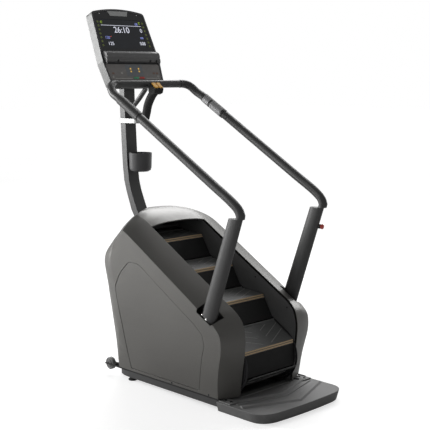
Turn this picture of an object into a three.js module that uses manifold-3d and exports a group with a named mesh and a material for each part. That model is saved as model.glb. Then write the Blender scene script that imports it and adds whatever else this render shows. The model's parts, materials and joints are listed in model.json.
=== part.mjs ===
// Stair climber: a gym machine with a moving flight of steps, hand rails and a console on a mast.
// Millimetres. +X is across the machine, +Y is the way the user faces, +Z is up, floor at z = 0.
// y is measured from the nosing datum of the stair; the finished group is moved so that the
// origin lies on the floor below the middle of the whole machine.
import * as THREE from 'three';
import { mergeVertices } from 'three/addons/utils/BufferGeometryUtils.js';
import Module from 'manifold-3d';

const wasm = await Module();
wasm.setup();

const { Vector2, Vector3, Matrix4, Path, Shape } = THREE;

// ---------------------------------------------------------------- driving dimensions
const FIT = 0.4;                       // gap between pieces that touch
const HALF_WIDTH = 362;                // shell, centre to side face at its widest
const BOTTOM_HALF_WIDTH = 333;         // the same at the bottom edge
const WELL_HALF = 213;                 // shell, centre to the edge of the stair opening
const SHELL_WALL = 5;
const SHELL_BOTTOM = 68;
const OPENING_TOP_Y = 519;             // top edge of the stair opening
const ORIGIN_Y = 311.6;                // middle of the machine, measured from the nosing datum

const STAIR_SLOPE = THREE.MathUtils.degToRad(30);
const STEP_PITCH = 296;                // along the slope, from step to step
const STEP_COUNT = 9;
const STEP_HALF_WIDTH = 199;
const NOSING_RISE = 77;                // nosing above the line of the step hinges
const NOSING_BACK = 141.7;             // nosing from the step's lower hinge, along the slope
const TREAD_THICK = 22;
const RISER_CLEARANCE = 14;            // foot of each riser to the hinge below it
const HINGE_RADIUS = 6;                // barrel along the back edge of each tread
const TURN_RADIUS = 152;               // circle on which the hinges go round each sprocket
const SPROCKET_SPAN = 955.617;         // lower shaft to upper shaft
const CHAIN_DEPTH = 12;
const LOWER_HINGE_RUN = 113.34;        // hinge of the lowest climbed step above the lower turn
const NOSING_DATUM = new Vector2(12, 539);   // y and z of the nosing of the second step

const RAIL_X = 335;
const RAIL_RADIUS = 25;
const POST_X = 327;
const MAST_HALF_WIDTH = 42;
const CONSOLE_TILT = THREE.MathUtils.degToRad(24);

// ---------------------------------------------------------------- materials
const finish = (color, roughness, metalness) => () =>
  new THREE.MeshStandardMaterial({ color, roughness, metalness });
const shellPaint = finish(0x6a6862, 0.5, 0.3);
const tubePaint = finish(0x4a4a48, 0.45, 0.4);
const steel = finish(0x8c8d8e, 0.35, 0.9);
const darkPlastic = finish(0x3a3a3a, 0.6, 0.0);
const greyPlastic = finish(0x5f6061, 0.55, 0.0);
const silverPlastic = finish(0xc2c4c2, 0.35, 0.3);
const glossBlack = finish(0x15171a, 0.1, 0.0);
const treadGrey = finish(0x4f5151, 0.7, 0.0);
const rubber = finish(0x1d1d1d, 0.85, 0.0);
const amber = finish(0xd9a441, 0.4, 0.0);
const red = finish(0xc4473c, 0.4, 0.0);
const green = finish(0x5fae7c, 0.45, 0.0);
const castIron = finish(0x303133, 0.6, 0.7);

// ---------------------------------------------------------------- solids
const machine = new THREE.Group();

function add(name, geometry, paint) {
  const mesh = new THREE.Mesh(geometry, paint());
  mesh.name = name;
  machine.add(mesh);
  return mesh;
}

function toSolid(geometry) {
  const bare = geometry.clone();
  bare.deleteAttribute('normal');
  bare.deleteAttribute('uv');
  const merged = mergeVertices(bare, 1e-4);
  return new wasm.Manifold(new wasm.Mesh({
    numProp: 3,
    vertProperties: Float32Array.from(merged.attributes.position.array),
    triVerts: Uint32Array.from(merged.index.array),
  }));
}

function toGeometry(solid) {
  const mesh = solid.getMesh();
  const geometry = new THREE.BufferGeometry();
  geometry.setAttribute('position', new THREE.BufferAttribute(mesh.vertProperties, 3));
  geometry.setIndex(new THREE.BufferAttribute(mesh.triVerts, 1));
  geometry.computeVertexNormals();
  return geometry;
}

const join = (...parts) => toGeometry(parts.map(toSolid).reduce((a, b) => a.add(b)));
const cut = (body, ...tools) => toGeometry(tools.map(toSolid).reduce((a, b) => a.subtract(b), toSolid(body)));

// A closed outline with rounded corners: points are [x, y] or [x, y, corner radius].
function outline(points, radius = 0) {
  const shape = new Shape();
  points.forEach(([x, y, own], i) => {
    const here = new Vector2(x, y);
    const before = new Vector2(...points.at(i - 1));
    const after = new Vector2(...points[(i + 1) % points.length]);
    const toBefore = before.clone().sub(here);
    const toAfter = after.clone().sub(here);
    const half = Math.abs(toBefore.angleTo(toAfter)) / 2;
    const longest = 0.45 * Math.min(toBefore.length(), toAfter.length());
    const reach = Math.min((own ?? radius) / Math.tan(half), longest);
    const start = here.clone().addScaledVector(toBefore.normalize(), reach);
    const end = here.clone().addScaledVector(toAfter.normalize(), reach);
    if (i === 0) shape.moveTo(start.x, start.y);
    else shape.lineTo(start.x, start.y);
    if (reach > 0) shape.quadraticCurveTo(x, y, end.x, end.y);
  });
  shape.closePath();
  return shape;
}

const circle = (radius, x = 0, y = 0) => new Shape().absarc(x, y, radius, 0, 2 * Math.PI);

// A shape drawn in (y, z) and given thickness across the machine, from x0 to x1.
function slabX(shape, x0, x1, curveSegments = 5) {
  const geometry = new THREE.ExtrudeGeometry(shape, { depth: x1 - x0, bevelEnabled: false, curveSegments });
  const turn = new Matrix4().makeBasis(new Vector3(0, 1, 0), new Vector3(0, 0, 1), new Vector3(1, 0, 0));
  return geometry.applyMatrix4(turn).translate(x0, 0, 0);
}

// A shape drawn in (x, y) and given height from z0 to z1.
function slabZ(shape, z0, z1, curveSegments = 5) {
  const geometry = new THREE.ExtrudeGeometry(shape, { depth: z1 - z0, bevelEnabled: false, curveSegments });
  return geometry.translate(0, 0, z0);
}

// A shape drawn in (x, z) and given depth from y0 to y1.
function slabY(shape, y0, y1, curveSegments = 5) {
  const geometry = new THREE.ExtrudeGeometry(shape, { depth: y1 - y0, bevelEnabled: false, curveSegments });
  return geometry.rotateX(Math.PI / 2).translate(0, y1, 0);
}

// A box from corner to corner, in the machine's own axes.
function block(x0, x1, y0, y1, z0, z1) {
  return new THREE.BoxGeometry(x1 - x0, y1 - y0, z1 - z0)
    .translate((x0 + x1) / 2, (y0 + y1) / 2, (z0 + z1) / 2);
}

// A round bar across the machine, or with axis 'y' or 'z' along that axis.
function bar(radius, from, to, a, b, axis = 'x', sides = 24) {
  const geometry = new THREE.CylinderGeometry(radius, radius, to - from, sides);
  const middle = (from + to) / 2;
  if (axis === 'x') return geometry.rotateZ(Math.PI / 2).translate(middle, a, b);
  if (axis === 'y') return geometry.translate(a, middle, b);
  return geometry.rotateX(Math.PI / 2).translate(a, b, middle);
}

function sweep(points, section, steps) {
  const curve = new THREE.CatmullRomCurve3(points.map((p) => new Vector3(...p)), false, 'centripetal');
  const options = { steps, extrudePath: curve, bevelEnabled: false, curveSegments: 8 };
  return new THREE.ExtrudeGeometry(section, options);
}

// A skin through rings of equal count, closed by a flat cap at each end. The caps are laid out
// in the plane of two of the axes.
function loft(rings, axes = ['y', 'z']) {
  const count = rings[0].length;
  const corners = rings.flat().flatMap((p) => [p.x, p.y, p.z]);
  const faces = [];
  for (let k = 0; k + 1 < rings.length; k += 1) {
    for (let i = 0; i < count; i += 1) {
      const a = k * count + i;
      const b = k * count + ((i + 1) % count);
      faces.push(a, b, a + count, b, b + count, a + count);
    }
  }
  const flat = (ring) => ring.map((p) => new Vector2(p[axes[0]], p[axes[1]]));
  const last = (rings.length - 1) * count;
  THREE.ShapeUtils.triangulateShape(flat(rings[0]), []).forEach(([a, b, c]) => faces.push(a, c, b));
  THREE.ShapeUtils.triangulateShape(flat(rings.at(-1)), [])
    .forEach(([a, b, c]) => faces.push(last + a, last + b, last + c));
  const geometry = new THREE.BufferGeometry();
  geometry.setAttribute('position', new THREE.Float32BufferAttribute(corners, 3));
  geometry.setIndex(faces);
  return geometry;
}

const mirrorX = (geometry) => {
  const copy = geometry.clone().scale(-1, 1, 1);
  const index = copy.index ?? new THREE.BufferAttribute(
    Uint32Array.from({ length: copy.attributes.position.count }, (_, i) => i), 1);
  const turned = Array.from(index.array);
  for (let i = 0; i < turned.length; i += 3) [turned[i], turned[i + 1]] = [turned[i + 1], turned[i]];
  copy.setIndex(turned);
  return copy;
};

// The same piece on both sides: the geometry is made for the +X side.
function addPair(name, geometry, paint) {
  add(`${name}_right`, geometry, paint);
  add(`${name}_left`, mirrorX(geometry), paint);
}

// ---------------------------------------------------------------- outer shell
// The shell is everything that lies under the top surface, behind the front surface and between
// the two side faces. Both surfaces run from their edge at the side face to a crown line at the
// middle of the machine.

// Top surface, up the rear, along the slope and over the hood: y and z at the side face, then
// y and z at the crown.
const TOP_ROWS = [
  [-132, SHELL_BOTTOM - 2, -228, SHELL_BOTTOM - 2],
  [-156, 190, -240, 190],
  [-176, 262, -250, 275],
  [-193, 320, -256, 345],
  [-199, 370, -256, 405],
  [-193, 421, -247, 452],
  [-168, 456, -232, 497],
  [-118, 492, -180, 547],
  [-64, 523, -112, 585],
  [1, 564, -37, 626],
  [203, 681, 168, 741],
  [400, 795, 366, 853],
  [542, 876, 520, 941],
  [622, 914, 605, 981],
  [710, 930, 705, 1000],
  [800, 915, 805, 985],
  [960, 840, 960, 915],
];
// Front surface: height, y at the side face, y at the crown, and the shape of the corner between
// them: 1 - |x|^power, raised to the roundness.
const FRONT_ROWS = [
  [SHELL_BOTTOM - 2, 575, 812, 2.8, 0.49],
  [220, 580, 845, 2.8, 0.49],
  [401, 634, 868, 2.8, 0.49],
  [555, 673, 897, 2.8, 0.49],
  [684, 706, 932, 2.8, 0.5],
  [740, 708, 935, 2.8, 0.6],
  [800, 698, 926, 2.5, 1],
  [860, 652, 922, 1.8, 1.1],
  [900, 610, 912, 1.4, 1],
  [940, 566, 885, 1.2, 1],
  [980, 522, 800, 1.2, 1],
  [1060, 430, 640, 1.2, 1],
];
const CROWN_POWER = 2.8;
const ROW_STEPS = 3;                   // facets between two rows of a table

function sampleRows(rows, columns) {
  const points = rows.map((row) => new Vector3(...columns.map((c) => row[c])));
  const curve = new THREE.CatmullRomCurve3(points, false, 'centripetal');
  return curve.getPoints((rows.length - 1) * ROW_STEPS);
}

// Half the width of the shell: it draws in towards the floor.
function sideHalf(z) {
  const rise = Math.min(1, Math.max(0, (z - SHELL_BOTTOM) / 450));
  return HALF_WIDTH - (HALF_WIDTH - BOTTOM_HALF_WIDTH) * (1 - rise) ** 2;
}

// Moves an open line of (y, z) points to its right by the inset.
function insetLine(points, inset) {
  return points.map((p, i) => {
    const next = points[Math.min(i + 1, points.length - 1)];
    const along = next.clone().sub(points[Math.max(i - 1, 0)]).normalize();
    return new Vector2(p.x + along.y * inset, p.y - along.x * inset);
  });
}

// The part of the shell's outer form between two stations across x, shrunk by the inset.
function shellMass(from, to, inset) {
  const stations = stationsBetween(from, to, Math.ceil((to - from) / 42));
  const reach = (x, power) => 1 - Math.min(1, Math.abs(x) / HALF_WIDTH) ** power;
  const ring = (x, points) => points.map((p) => new Vector3(x, p.x, Math.max(p.y, SHELL_BOTTOM)));

  const topSide = sampleRows(TOP_ROWS, [0, 1, 1]);
  const topCrown = sampleRows(TOP_ROWS, [2, 3, 3]);
  const under = loft(stations.map((x) => {
    const line = topSide.map((p, i) => new Vector2(p.x, p.y).lerp(topCrown[i], reach(x, CROWN_POWER)));
    return ring(x, [...insetLine(line, inset), new Vector2(1000, 60)].reverse());
  }));

  const front = sampleRows(FRONT_ROWS, [1, 0, 2]);
  const corner = sampleRows(FRONT_ROWS, [3, 4, 4]);
  const behind = loft(stations.map((x) => {
    const line = front.map(({ x: side, y: z, z: crown }, i) => {
      const blend = reach(x, corner[i].x) ** corner[i].y;
      return new Vector2(side + (crown - side) * blend, z);
    });
    return ring(x, [...insetLine(line, -inset), new Vector2(-400, 1060), new Vector2(-400, 60)]);
  }));

  const sides = Array.from({ length: 9 }, (_, i) => SHELL_BOTTOM + i * 56.25);
  const right = sides.map((z) => [sideHalf(z) - inset, z]);
  const left = right.map(([x, z]) => [-x, z]).reverse();
  const lip = HALF_WIDTH - inset;
  const between = slabY(outline([...right, [lip, 1100], [-lip, 1100], ...left]), -400, 1000);
  return [under, behind, between].map(toSolid).reduce((a, b) => a.intersect(b));
}

const stationsBetween = (from, to, count) => {
  const a = Math.asin(Math.max(-1, from / HALF_WIDTH));
  const b = Math.asin(Math.min(1, to / HALF_WIDTH));
  return Array.from({ length: count + 1 }, (_, i) => HALF_WIDTH * Math.sin(a + ((b - a) * i) / count));
};

const PANEL_OUTLINE = [
  [-10, 84, 8], [-48, 270, 60], [-74, 352, 40], [-58, 412, 40], [0, 457, 60], [470, 729, 80],
  [556, 730, 50], [636, 650, 70], [684, 560, 50], [660, 470, 60], [624, 340, 150], [571, 84, 8],
];
const POST_SLOT = [[-14, 530, 12], [-128, 470, 12], [-190, 560, 2], [-215, 640, 2], [-55, 640, 2]];

function buildSideShells() {
  const outer = shellMass(WELL_HALF, HALF_WIDTH, 0);
  const cavity = shellMass(WELL_HALF - 2, HALF_WIDTH, SHELL_WALL);
  const inner = WELL_HALF - 2;
  const openBottom = slabZ(outline([[inner, -90], [320, -90], [320, 600], [inner, 600]]), 60, 80);
  const panelHole = slabX(outline(PANEL_OUTLINE), 310, HALF_WIDTH + 5);
  const postSlot = slabX(outline(POST_SLOT), 288, HALF_WIDTH + 5);
  const shell = [openBottom, panelHole, postSlot]
    .map(toSolid)
    .reduce((a, b) => a.subtract(b), outer.subtract(cavity));
  addPair('side_shell', toGeometry(shell), shellPaint);

  const middle = new Vector2(300, 380);
  const seated = PANEL_OUTLINE.map(([y, z, r]) => {
    const inward = middle.clone().sub(new Vector2(y, z)).setLength(3);
    return [y + inward.x, z + inward.y, r];
  });
  const skin = shellMass(300, HALF_WIDTH, 1).subtract(shellMass(298, HALF_WIDTH, SHELL_WALL));
  const panel = toSolid(slabX(outline(seated), 310, HALF_WIDTH));
  addPair('service_panel', toGeometry(skin.intersect(panel)), shellPaint);
}

function buildFrontShroud() {
  const half = WELL_HALF - FIT;
  const skin = shellMass(-half, half, 0).subtract(shellMass(-half - 1, half + 1, SHELL_WALL));
  const tools = [
    block(-half - 1, half + 1, -400, OPENING_TOP_Y, 60, 1100),
    block(-half - 1, half + 1, 0, 770, 60, 75),
    slabX(mastProfile(4), -MAST_HALF_WIDTH - 4, MAST_HALF_WIDTH + 4),
    block(59, 113, 760, 840, 101, 139),
  ];
  add('front_shroud', toGeometry(tools.map(toSolid).reduce((a, b) => a.subtract(b), skin)), shellPaint);
}

function buildInnerWalls() {
  const sheet = shellMass(206, WELL_HALF - FIT, 14);
  const room = MAST_BEAM.half + 1;
  const { y, z } = MAST_BEAM;
  const beamHole = block(200, 220, y - room, y + room, z - room, z + room);
  const shaftHoles = [0, SPROCKET_SPAN].map((along) => {
    const at = onSlope(along, 0);
    return bar(24, 200, 220, at.x, at.y);
  });
  const wall = [beamHole, ...shaftHoles].map(toSolid).reduce((a, b) => a.subtract(b), sheet);
  addPair('inner_wall', toGeometry(wall), darkPlastic);
}

// ---------------------------------------------------------------- the moving stair
const UP_SLOPE = new Vector2(Math.cos(STAIR_SLOPE), Math.sin(STAIR_SLOPE));
const OFF_SLOPE = new Vector2(-UP_SLOPE.y, UP_SLOPE.x);

// The lower shaft, found from the second step: nosing, down to the hinge line, along it, in by the turn.
const LOWER_SHAFT = NOSING_DATUM.clone()
  .addScaledVector(UP_SLOPE, -NOSING_BACK - LOWER_HINGE_RUN)
  .addScaledVector(OFF_SLOPE, -NOSING_RISE - TURN_RADIUS);

// A point given along the slope and away from it, from the lower shaft.
function onSlope(along, away) {
  return LOWER_SHAFT.clone().addScaledVector(UP_SLOPE, along).addScaledVector(OFF_SLOPE, away);
}

// The hinges run down the top of the loop, round the lower shaft, back up and round the upper one.
function loopPoint(distance) {
  const halfTurn = Math.PI * TURN_RADIUS;
  const total = 2 * (SPROCKET_SPAN + halfTurn);
  let d = ((distance % total) + total) % total;
  if (d < SPROCKET_SPAN) return onSlope(SPROCKET_SPAN - d, TURN_RADIUS);
  d -= SPROCKET_SPAN;
  if (d < halfTurn) {
    const a = Math.PI / 2 + d / TURN_RADIUS;
    return onSlope(TURN_RADIUS * Math.cos(a), TURN_RADIUS * Math.sin(a));
  }
  d -= halfTurn;
  if (d < SPROCKET_SPAN) return onSlope(d, -TURN_RADIUS);
  const a = -Math.PI / 2 + (d - SPROCKET_SPAN) / TURN_RADIUS;
  return onSlope(SPROCKET_SPAN + TURN_RADIUS * Math.cos(a), TURN_RADIUS * Math.sin(a));
}

// Walks one step pitch on, measured straight from hinge to hinge.
function nextHinge(distance) {
  const from = loopPoint(distance);
  const short = (d) => loopPoint(distance + d).distanceTo(from) < STEP_PITCH;
  let low = STEP_PITCH - 1;
  while (short(low + 1)) low += 1;
  let high = low + 1;
  for (let i = 0; i < 30; i += 1) {
    const middle = (low + high) / 2;
    if (short(middle)) low = middle;
    else high = middle;
  }
  return distance + high;
}

// Step 1 is the lowest climbed step; 2, 3 and 4 are above it, 5 goes over the top,
// 6, 7 and 8 come back below, and 9 goes round the bottom.
function stepPlaces() {
  const hinges = [SPROCKET_SPAN - LOWER_HINGE_RUN];
  while (hinges.length <= STEP_COUNT) hinges.push(nextHinge(hinges.at(-1)));
  return Array.from({ length: STEP_COUNT }, (_, i) => {
    const upper = loopPoint(hinges[i]);
    const lower = loopPoint(hinges[i + 1]);
    return { number: i === 0 ? 1 : STEP_COUNT + 1 - i, lower, turn: upper.clone().sub(lower).angle() };
  });
}

function treadGeometry() {
  const nosing = new Vector2(NOSING_BACK, NOSING_RISE);
  const back = new Vector2(STEP_PITCH, 0);
  const run = back.clone().sub(nosing);
  const length = run.length();
  const along = run.clone().normalize();
  const inward = new Vector2(along.y, -along.x);
  const riserWay = nosing.clone().negate().normalize();
  const at = (a, b) => nosing.clone().addScaledVector(along, a).addScaledVector(inward, b);
  const front = nosing.clone().addScaledVector(riserWay, TREAD_THICK + 2);
  const corners = [nosing, front, at(26, TREAD_THICK), at(60, 10), at(length - 4, 7), at(length - 4, 0)];
  const board = slabX(new Shape(corners.reverse()), -STEP_HALF_WIDTH, STEP_HALF_WIDTH);
  return join(board, bar(HINGE_RADIUS, -STEP_HALF_WIDTH, STEP_HALF_WIDTH, back.x, back.y, 'x', 12));
}

function riserGeometry() {
  const nosing = new Vector2(NOSING_BACK, NOSING_RISE);
  const down = nosing.clone().negate().normalize();
  const inward = new Vector2(-down.y, down.x);
  const at = (a, b) => nosing.clone().addScaledVector(down, a).addScaledVector(inward, b);
  const length = nosing.length();
  const top = TREAD_THICK + 3;
  const bottom = length - RISER_CLEARANCE;
  const corners = [at(top, 1), at(bottom, 1), at(bottom, 6), at(top, 6)];
  return slabX(new Shape(corners), -STEP_HALF_WIDTH, STEP_HALF_WIDTH);
}

function buildSteps() {
  for (const place of stepPlaces()) {
    const pieces = [['tread', treadGeometry(), treadGrey], ['riser', riserGeometry(), darkPlastic]];
    for (const [name, geometry, paint] of pieces) {
      const mesh = add(`${name}_${place.number}`, geometry, paint);
      mesh.position.set(0, place.lower.x, place.lower.y);
      mesh.rotation.x = place.turn;
    }
  }
}

function buildShafts() {
  const sprocket = TURN_RADIUS - CHAIN_DEPTH / 2 - 3;
  const end = SUPPORT_X - 5 - FIT;
  const profile = [
    [0, -end], [17, -end], [17, -205], [sprocket, -205], [sprocket, -201], [17, -201],
    [17, 201], [sprocket, 201], [sprocket, 205], [17, 205], [17, end], [0, end],
  ].map(([r, x]) => new Vector2(r, x));
  [['lower_shaft', 0], ['upper_shaft', SPROCKET_SPAN]].forEach(([name, along]) => {
    const at = onSlope(along, 0);
    const mesh = add(name, new THREE.LatheGeometry(profile, 28).rotateZ(Math.PI / 2), steel);
    mesh.position.set(0, at.x, at.y);
  });
}

function chainPath(radius) {
  const path = new Path();
  const upper = onSlope(SPROCKET_SPAN, 0);
  path.absarc(LOWER_SHAFT.x, LOWER_SHAFT.y, radius, STAIR_SLOPE + Math.PI / 2, STAIR_SLOPE + 1.5 * Math.PI);
  path.absarc(upper.x, upper.y, radius, STAIR_SLOPE - Math.PI / 2, STAIR_SLOPE + Math.PI / 2);
  return path.getPoints(10);
}

function buildChains() {
  const loop = new Shape(chainPath(TURN_RADIUS + CHAIN_DEPTH / 2));
  loop.holes.push(new Path(chainPath(TURN_RADIUS - CHAIN_DEPTH / 2).reverse()));
  addPair('chain', slabX(loop, 200.5, 205.5), steel);
}

// ---------------------------------------------------------------- base, platform, feet, wheels
const FOOT_HEIGHT = 22;
const RAIL_TOP = 66;                   // top of the base frame
const SUPPORT_X = 241;                 // upright plates that carry the shafts, middle of the plate
const MAST_BEAM = { y: 745, z: 868, half: 8 };  // cross beam inside the hood that carries the mast
const WHEEL = { x: 305, y: 800, z: 62, radius: 37, width: 36, bore: 7 };

function buildBaseFrame() {
  const ring = outline([[-328, -148], [328, -148], [328, 755, 150], [-328, 755, 150]], 12);
  ring.holes.push(outline([[-290, -108], [290, -108], [290, 700, 110], [-290, 700, 110]].reverse(), 20));
  const uprights = [-SUPPORT_X, SUPPORT_X].flatMap((x) => [
    block(x - 5, x + 5, LOWER_SHAFT.x - 45, LOWER_SHAFT.x + 35, 30, LOWER_SHAFT.y + 30),
    slabX(outline([[640, 40], [705, 40], [751, 320], [751, 876], [695, 876], [695, 320]]), x - 5, x + 5),
  ]);
  const beam = block(-SUPPORT_X, SUPPORT_X, MAST_BEAM.y - MAST_BEAM.half, MAST_BEAM.y + MAST_BEAM.half,
    MAST_BEAM.z - MAST_BEAM.half, MAST_BEAM.z + MAST_BEAM.half);
  const postPlates = [-301, 301].map((x) => block(x - 6, x + 6, -108, -48, 40, POST_FOOT.z - FIT));
  const wheelArms = [-1, 1].map((side) => {
    const arm = side * (WHEEL.x - WHEEL.width / 2 - 8);
    return block(arm - 5, arm + 5, 640, WHEEL.y + 12, 44, RAIL_TOP);
  });
  const reach = WHEEL.x + WHEEL.width / 2 - 3;
  const axles = [bar(6, -reach, -reach + 44, WHEEL.y, WHEEL.z), bar(6, reach - 44, reach, WHEEL.y, WHEEL.z)];
  const drivePlate = block(-150, 150, 560, 730, 40, RAIL_TOP);
  const pan = block(-295, 295, -113, 690, FOOT_HEIGHT + 2, FOOT_HEIGHT + 5);
  const floorRing = cut(slabZ(ring, FOOT_HEIGHT, RAIL_TOP), block(-212, 212, -200, -50, 46, 80));
  const parts = [floorRing, pan, ...uprights, beam, ...postPlates, ...wheelArms, ...axles, drivePlate];
  add('base_frame', join(...parts), tubePaint);
}

// The platform flares a little from the floor to its top edge.
function buildPlatform() {
  const ring = (half, rear, z) => {
    const front = -148 - FIT;
    const shape = new Shape();
    shape.moveTo(half, front);
    shape.lineTo(-half, front);
    shape.lineTo(-half, rear + 112);
    shape.quadraticCurveTo(-half, rear + 24, -half * 0.7, rear + 9);
    shape.quadraticCurveTo(0, rear - 9, half * 0.7, rear + 9);
    shape.quadraticCurveTo(half, rear + 24, half, rear + 112);
    return shape.getPoints(8).map((p) => new Vector3(p.x, p.y, z));
  };
  add('entry_platform', loft([ring(328, -500, 0), ring(344, -508, 56)], ['x', 'y']), darkPlastic);
}

function buildFeetAndWheels() {
  const foot = [[0, 0], [26, 0], [26, 8], [12, 14], [12, FOOT_HEIGHT - FIT], [0, FOOT_HEIGHT - FIT]]
    .map(([r, z]) => new Vector2(r, z));
  const pad = new THREE.LatheGeometry(foot, 20).rotateX(Math.PI / 2);
  addPair('levelling_foot', pad.translate(300, 600, 0), rubber);
  const { radius, width, bore } = WHEEL;
  const half = width / 2;
  const tyre = [[bore, -half], [20, -half], [24, 6 - half], [radius - 6, 4 - half], [radius, 8 - half],
    [radius, half - 8], [radius - 6, half - 4], [24, half - 6], [20, half], [bore, half], [bore, -half]];
  const wheel = new THREE.LatheGeometry(tyre.map(([r, x]) => new Vector2(r, x)), 30).rotateZ(-Math.PI / 2);
  addPair('transport_wheel', wheel.translate(WHEEL.x, WHEEL.y, WHEEL.z), rubber);
}

function buildDrive() {
  const at = { y: 650, z: 190 };
  const saddle = block(-80, 80, at.y - 50, at.y + 50, RAIL_TOP + FIT, at.z);
  const alternator = join(bar(72, -95, 95, at.y, at.z), saddle);
  add('alternator', alternator, castIron);
}

// ---------------------------------------------------------------- posts and hand rails
const POST_FOOT = { y: -64, z: 456 };
const POST_HEAD = { y: -278, z: 1062 };
const RAIL_LINE = { y: -238, z: 1158, slope: 0.569 };   // a point on the rail and its rise per run
const CROSSBAR = { y: 771, z: 1743 };
const railHeight = (y) => RAIL_LINE.z + (y - RAIL_LINE.y) * RAIL_LINE.slope;

function postGeometry(grow) {
  const height = POST_HEAD.z - POST_FOOT.z;
  const round = new THREE.CylinderGeometry(47 + grow, 54 + grow, height, 28);
  const post = round.rotateX(Math.PI / 2).scale(0.53, 1, 1);
  const lean = (POST_HEAD.y - POST_FOOT.y) / height;
  const shear = new Matrix4().set(1, 0, 0, 0, 0, 1, lean, 0, 0, 0, 1, 0, 0, 0, 0, 1);
  return post.applyMatrix4(shear)
    .translate(POST_X, (POST_HEAD.y + POST_FOOT.y) / 2, (POST_HEAD.z + POST_FOOT.z) / 2);
}

function buildHandRails() {
  const bend = 60;
  const section = circle(RAIL_RADIUS);
  const path = [
    [RAIL_X - 6, -300, 1040], [RAIL_X - 4, -318, 1074], [RAIL_X - 2, -306, 1108],
    [RAIL_X, -262, railHeight(-262)],
    [RAIL_X, -100, railHeight(-100)], [RAIL_X, 300, railHeight(300)],
    [RAIL_X, 640, railHeight(640)], [RAIL_X, 655, railHeight(655)],
    [RAIL_X - 4, 708, railHeight(702)], [RAIL_X - 24, 752, CROSSBAR.z - 12],
    [RAIL_X - bend, CROSSBAR.y, CROSSBAR.z],
    [RAIL_X - bend - 30, CROSSBAR.y, CROSSBAR.z],
  ];
  const rail = cut(sweep(path, section, 60), block(280, 400, -400, -150, 900, POST_HEAD.z + FIT));
  addPair('hand_rail', rail, tubePaint);
  const half = RAIL_X - bend - 30 - FIT;
  add('crossbar', bar(RAIL_RADIUS - 2, -half, half, CROSSBAR.y, CROSSBAR.z), tubePaint);
}

function buildPulseGrips() {
  const from = new Vector3(RAIL_X, 470, railHeight(470));
  const to = new Vector3(RAIL_X, 640, railHeight(640));
  const length = from.distanceTo(to);
  const sleeve = (radius, extra) => new THREE.CylinderGeometry(radius, radius, length + extra, 24);
  const grip = cut(sleeve(RAIL_RADIUS + 3, 0), sleeve(RAIL_RADIUS + FIT, 20));
  const way = to.clone().sub(from).normalize();
  grip.applyQuaternion(new THREE.Quaternion().setFromUnitVectors(new Vector3(0, 1, 0), way));
  const middle = from.add(to).multiplyScalar(0.5);
  addPair('pulse_grip', grip.translate(middle.x, middle.y, middle.z), steel);
}

function buildEmergencyStop() {
  const at = { x: 338, y: -283, z: 953 };
  const base = bar(13, at.y - 14, at.y + 16, at.x, at.z, 'y');
  add('e_stop_base', cut(base, postGeometry(FIT)), darkPlastic);
  add('e_stop_button', bar(15, at.y - 32, at.y - 20, at.x, at.z, 'y'), red);
}

// ---------------------------------------------------------------- mast, grip and cup holder
const MAST_DEPTH = 46;
const MAST_LINE = [[820, 880], [838, 912], [878, 966], [905, 1026], [931, 1087], [950, 1148], [962, 1241],
  [970, 1366], [977, 1489], [984, 1613], [988, 1751]];      // y and z of the middle of the mast
const mastFront = (z) => {
  const next = MAST_LINE.findIndex(([, height]) => height > z);
  const [[y0, z0], [y1, z1]] = [MAST_LINE[next - 1], MAST_LINE[next]];
  return y0 + ((y1 - y0) * (z - z0)) / (z1 - z0) - MAST_DEPTH / 2;
};
const CUP = { z: 1208, height: 115, radius: 71, wall: 3 };
const GRIP_BRACKET_Z = 1518;

// Side view of the mast, which widens towards its foot, grown all round by the given amount.
function mastProfile(grow) {
  const edge = (side) => MAST_LINE.map(([y, z], i) =>
    new Vector2(y + side * (MAST_DEPTH / 2 + Math.max(0, 4 - i) * 2 + grow), z));
  return new Shape([...edge(1), ...edge(-1).reverse()]);
}

function buildMast() {
  const tube = slabX(mastProfile(0), -MAST_HALF_WIDTH, MAST_HALF_WIDTH);
  const head = slabX(outline([[939.8, 1745], [1011, 1745], [1011, 1850], [986.6, 1850]]), -50, 50);
  const foot = block(-60, 60, 730, 830, 876 + FIT, 892);
  add('mast', join(tube, head, foot), tubePaint);
}

function buildGripBracket() {
  const top = GRIP_BRACKET_Z + 14;
  const bottom = GRIP_BRACKET_Z - 14;
  const front = mastFront(GRIP_BRACKET_Z);
  const rear = front + MAST_DEPTH;
  const inside = MAST_HALF_WIDTH + FIT;
  const collar = cut(
    slabZ(outline([[-52, 838], [52, 838], [52, rear + 10], [-52, rear + 10]], 26), bottom, top),
    block(-inside, inside, front - 3, rear + 3, bottom - 5, top + 5),
  );
  add('grip_bracket', collar, silverPlastic);
  const arm = sweep([[0, mastFront(1590) - FIT - 12, 1588], [0, 868, 1655], [0, 808, 1714]], circle(15), 8);
  const joint = bar(24, mastFront(1590) - 26, mastFront(1590) - 2, 0, 1590, 'y');
  add('grip_arm', join(arm, joint), tubePaint);
}

// The sloping face of the grip head, from its low edge: along it and out from it.
function onHeadFace(along, out) {
  const low = new Vector2(682, 1716);
  const way = new Vector2(44, 36).normalize();
  return [low.x + way.x * along - way.y * out, low.y + way.y * along + way.x * out];
}

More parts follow.
